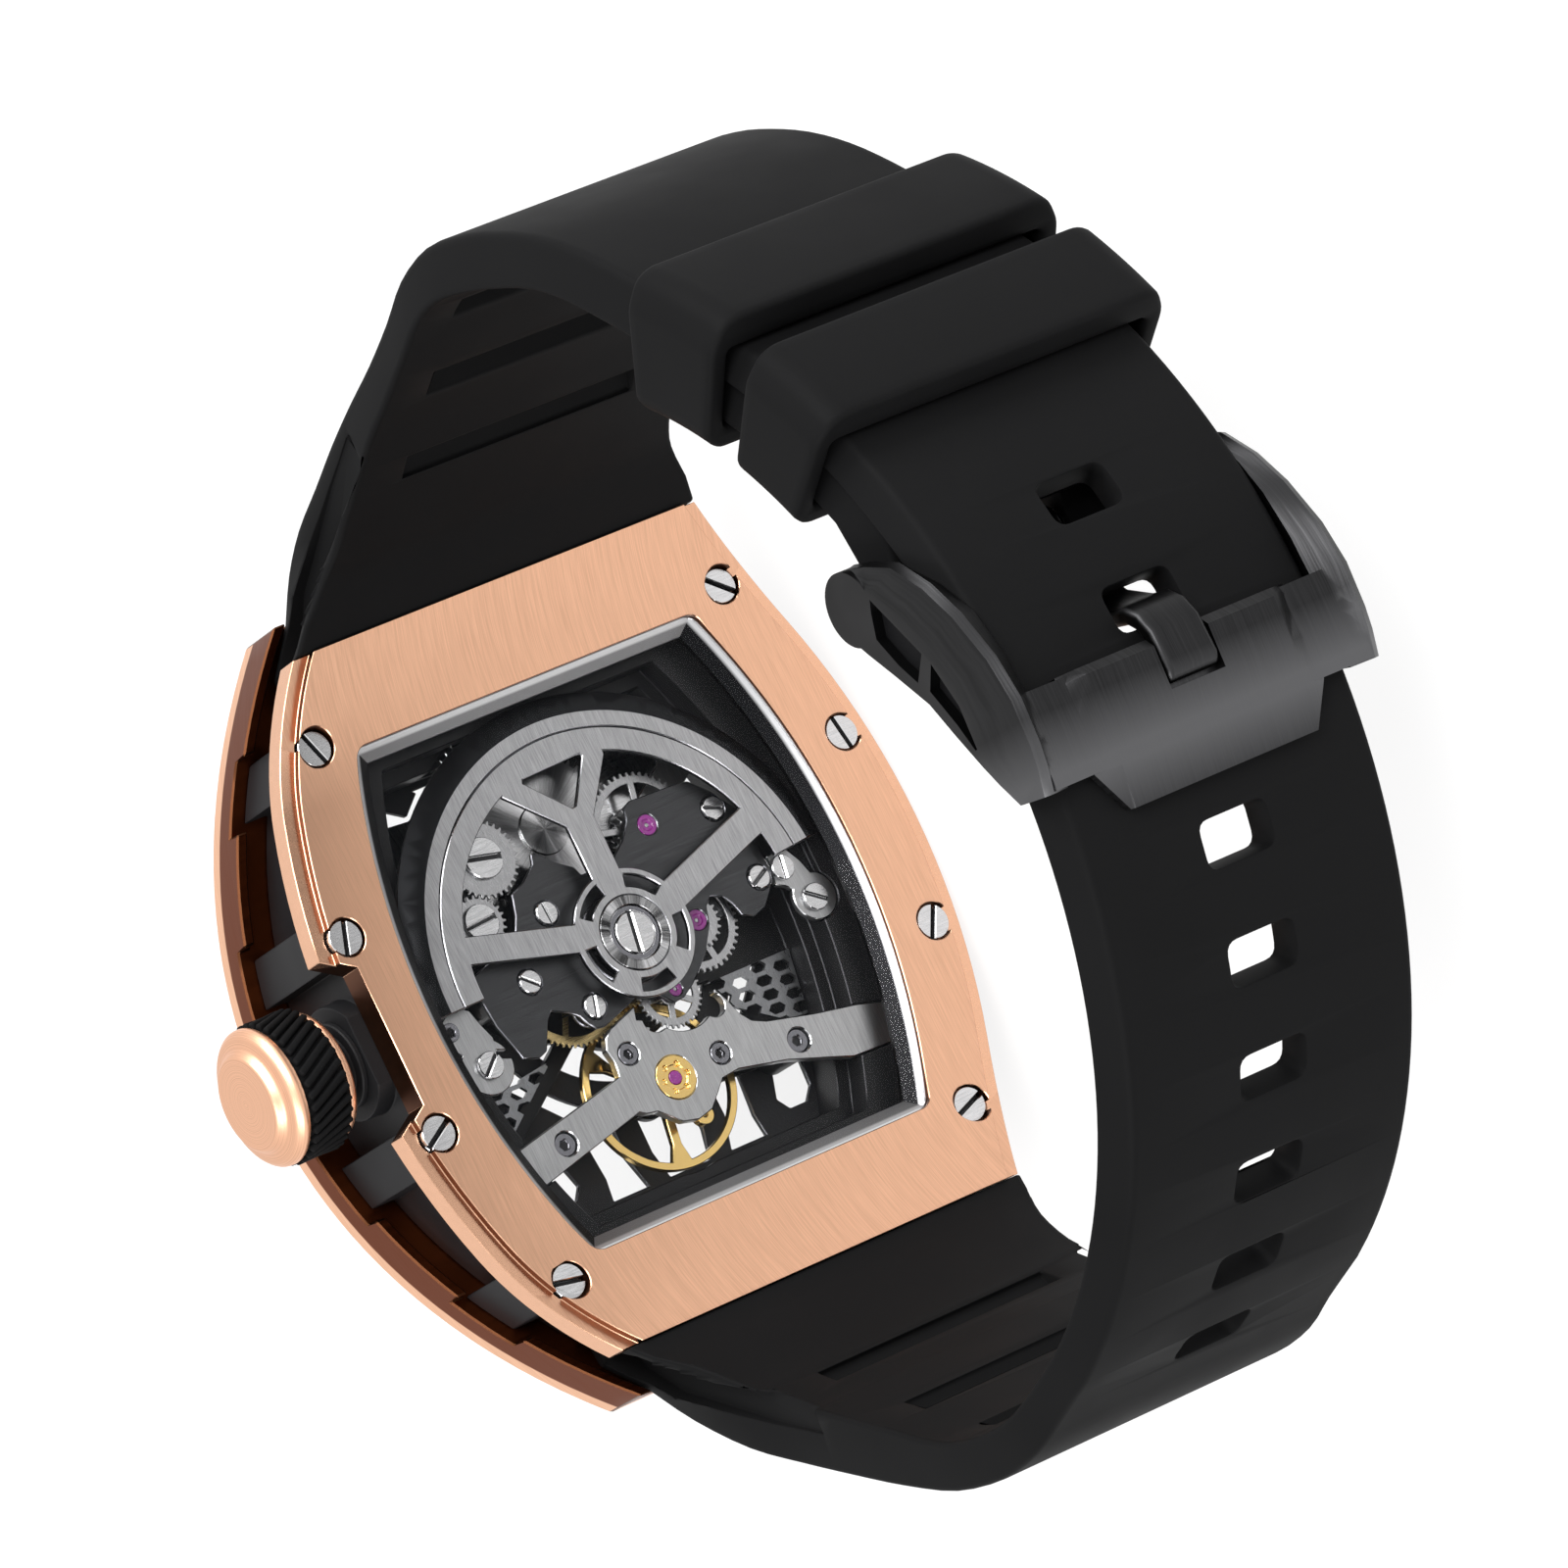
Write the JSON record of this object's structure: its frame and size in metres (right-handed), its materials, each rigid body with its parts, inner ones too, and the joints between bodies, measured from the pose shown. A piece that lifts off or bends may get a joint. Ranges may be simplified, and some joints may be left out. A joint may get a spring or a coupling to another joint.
{
  "type": "skeleton wrist watch",
  "caption": "Tonneau skeleton watch with display back, winding rotor, crown, integrated rubber strap worn closed with keepers and a pin buckle.",
  "frame": {"origin": "centre of the caseback, on the plane of its flat outer face", "axes": "+Z toward 3 o'clock and the crown, -X toward 12 o'clock, -Y toward the dial, +Y out of the caseback into the strap loop"},
  "size_m": [0.0778, 0.0768, 0.0483],
  "materials": {
    "rose_gold": "fine brushed rose gold plating",
    "rose_gold_bezel": "satin rose gold plating",
    "screw_steel": "polished steel",
    "ring_silver": "satin silver ring",
    "crystal": "clear sapphire",
    "black_case": "satin black coated titanium",
    "black_plate": "grained black coating",
    "dark_bridge": "dark grey satin bridge",
    "grey_bridge": "grey satin bridge",
    "silver_mesh": "satin silver mesh",
    "ruby": "magenta synthetic ruby",
    "yellow_gold": "polished yellow gold",
    "rotor_grey": "light grey cross brushed plate",
    "rotor_black": "black brushed heavy metal skirt",
    "polished_steel": "polished steel",
    "brass_wheel": "gilt wheel",
    "steel_wheel": "polished steel wheel",
    "blued_spring": "blued spring steel",
    "hand_white": "white lacquered hand",
    "hand_red": "red lacquered hand",
    "rubber": "matte black rubber",
    "buckle_black": "black brushed coated steel",
    "bar_steel": "steel spring bar"
  },
  "bodies": {
    "case": {"caseback": "rose_gold", "caseback_screws": "screw_steel", "back_window_ring": "ring_silver", "back_crystal": "crystal", "case_middle": "black_case", "front_bezel": "rose_gold_bezel", "bezel_screws": "screw_steel", "front_crystal": "crystal", "flange": "black_plate", "hour_markers": "hand_white", "skeleton_dial": "black_plate", "mainplate": "black_plate", "mesh_plates": "silver_mesh", "automatic_bridge": "dark_bridge", "train_bridge": "dark_bridge", "barrel_bridge": "grey_bridge", "balance_cock": "grey_bridge", "pallet_bridge": "dark_bridge", "bridge_screws": "screw_steel", "cock_screws": "screw_steel", "jewels": "ruby", "shock_setting": "yellow_gold", "regulator": "yellow_gold", "crown_levers": "grey_bridge", "winding_screws": "polished_steel", "bearing_core": "polished_steel", "rotor_screw": "polished_steel", "crown_tube": "black_case", "strap_12h": "rubber", "strap_6h": "rubber", "fixed_keeper": "rubber", "spring_bar": "bar_steel"},
    "rotor": {"rotor_plate": "rotor_grey", "rotor_weight": "rotor_black", "rotor_bearing": "polished_steel"},
    "reversing": {"reversing_wheel": "steel_wheel"},
    "reduction": {"reduction_wheel": "brass_wheel"},
    "ratchet": {"ratchet_wheel": "steel_wheel"},
    "winding_1": {"winding_wheel_1": "steel_wheel"},
    "winding_2": {"winding_wheel_2": "steel_wheel"},
    "barrel": {"mainspring_barrel": "brass_wheel"},
    "centre": {"centre_wheel": "brass_wheel", "minute_hand": "hand_white"},
    "third": {"third_wheel": "brass_wheel"},
    "fourth": {"fourth_wheel": "brass_wheel", "seconds_hand": "hand_red"},
    "escape": {"escape_wheel": "steel_wheel"},
    "fork": {"pallet_fork": "steel_wheel"},
    "balance": {"balance_wheel": "yellow_gold", "hairspring": "blued_spring"},
    "minute_work": {"minute_wheel": "brass_wheel"},
    "hour_work": {"hour_wheel": "brass_wheel", "hour_hand": "hand_white"},
    "crown_slide": {"crown_gasket": "rubber"},
    "crown": {"crown_cap": "rose_gold", "crown_grip": "rubber", "winding_stem": "bar_steel"},
    "keeper": {"sliding_keeper": "rubber"},
    "buckle": {"buckle_frame": "buckle_black"},
    "tongue": {"buckle_tongue": "buckle_black"}
  },
  "joints": [
    {"name": "rotor_spin", "type": "hinge", "parent": "case", "child": "rotor", "pos_m": [-0.00015, -0.0016, 0], "axis": [0, -1, 0], "continuous": true},
    {"name": "reversing_spin", "type": "hinge", "parent": "case", "child": "reversing", "pos_m": [0.00051, -0.003, -0.00507], "axis": [0, -1, 0], "continuous": true},
    {"name": "reduction_spin", "type": "hinge", "parent": "case", "child": "reduction", "pos_m": [-0.00594, -0.0033, -0.0048], "axis": [0, -1, 0], "continuous": true},
    {"name": "ratchet_spin", "type": "hinge", "parent": "case", "child": "ratchet", "pos_m": [-0.0082, -0.0037, 0.0012], "axis": [0, -1, 0], "continuous": true},
    {"name": "winding_1_spin", "type": "hinge", "parent": "case", "child": "winding_1", "pos_m": [-0.00785, -0.003, 0.00663], "axis": [0, -1, 0], "continuous": true},
    {"name": "winding_2_spin", "type": "hinge", "parent": "case", "child": "winding_2", "pos_m": [-0.00433, -0.003, 0.00866], "axis": [0, -1, 0], "continuous": true},
    {"name": "barrel_spin", "type": "hinge", "parent": "case", "child": "barrel", "pos_m": [-0.0082, -0.005, 0.0012], "axis": [0, -1, 0], "continuous": true},
    {"name": "centre_spin", "type": "hinge", "parent": "case", "child": "centre", "pos_m": [0, -0.006, 0], "axis": [0, -1, 0], "continuous": true},
    {"name": "third_spin", "type": "hinge", "parent": "case", "child": "third", "pos_m": [0.0009, -0.005, 0.0042], "axis": [0, -1, 0], "continuous": true},
    {"name": "seconds_spin", "type": "hinge", "parent": "case", "child": "fourth", "pos_m": [0, -0.004, 0], "axis": [0, -1, 0], "continuous": true},
    {"name": "escape_spin", "type": "hinge", "parent": "case", "child": "escape", "pos_m": [0.0038, -0.0034, -0.0016], "axis": [0, -1, 0], "continuous": true},
    {"name": "minute_work_spin", "type": "hinge", "parent": "case", "child": "minute_work", "pos_m": [0, -0.0073, 0.003], "axis": [0, -1, 0], "continuous": true},
    {"name": "hour_spin", "type": "hinge", "parent": "case", "child": "hour_work", "pos_m": [0, -0.008, 0], "axis": [0, -1, 0], "continuous": true},
    {"name": "balance_swing", "type": "hinge", "parent": "case", "child": "balance", "pos_m": [0.00869, -0.0045, 0.00104], "axis": [0, -1, 0], "range_deg": [-150, 150]},
    {"name": "fork_swing", "type": "hinge", "parent": "case", "child": "fork", "pos_m": [0.00642, -0.0034, -0.00014], "axis": [0, -1, 0], "range_deg": [-6, 6]},
    {"name": "crown_pull", "type": "slide", "parent": "case", "child": "crown_slide", "axis": [0, 0, 1], "range_m": [0, 0.0012]},
    {"name": "crown_turn", "type": "hinge", "parent": "crown_slide", "child": "crown", "pos_m": [0, -0.00495, 0.022], "axis": [0, 0, 1], "continuous": true},
    {"name": "keeper_slide", "type": "hinge", "parent": "case", "child": "keeper", "pos_m": [0.002, 0.025, 0], "axis": [0, 0, 1], "range_deg": [-4, 0]},
    {"name": "buckle_swing", "type": "hinge", "parent": "case", "child": "buckle", "pos_m": [-0.0068, 0.054, 0], "axis": [0, 0, 1], "range_deg": [0, 1.5]},
    {"name": "tongue_swing", "type": "hinge", "parent": "buckle", "child": "tongue", "pos_m": [-0.0068, 0.054, 0], "axis": [0, 0, 1], "range_deg": [0, 2]}
  ],
  "couplings": [
    {"joint": "reversing_spin", "follows": "rotor_spin", "ratio": -2},
    {"joint": "reduction_spin", "follows": "rotor_spin", "ratio": 1.75},
    {"joint": "ratchet_spin", "follows": "rotor_spin", "ratio": -0.56},
    {"joint": "winding_1_spin", "follows": "rotor_spin", "ratio": 4.6667},
    {"joint": "winding_2_spin", "follows": "rotor_spin", "ratio": -6.6111},
    {"joint": "third_spin", "follows": "seconds_spin", "ratio": -0.13333},
    {"joint": "centre_spin", "follows": "seconds_spin", "ratio": 0.016667},
    {"joint": "barrel_spin", "follows": "seconds_spin", "ratio": -0.0022523},
    {"joint": "escape_spin", "follows": "seconds_spin", "ratio": -8.75},
    {"joint": "minute_work_spin", "follows": "seconds_spin", "ratio": -0.0055556},
    {"joint": "hour_spin", "follows": "seconds_spin", "ratio": 0.0013889}
  ]
}
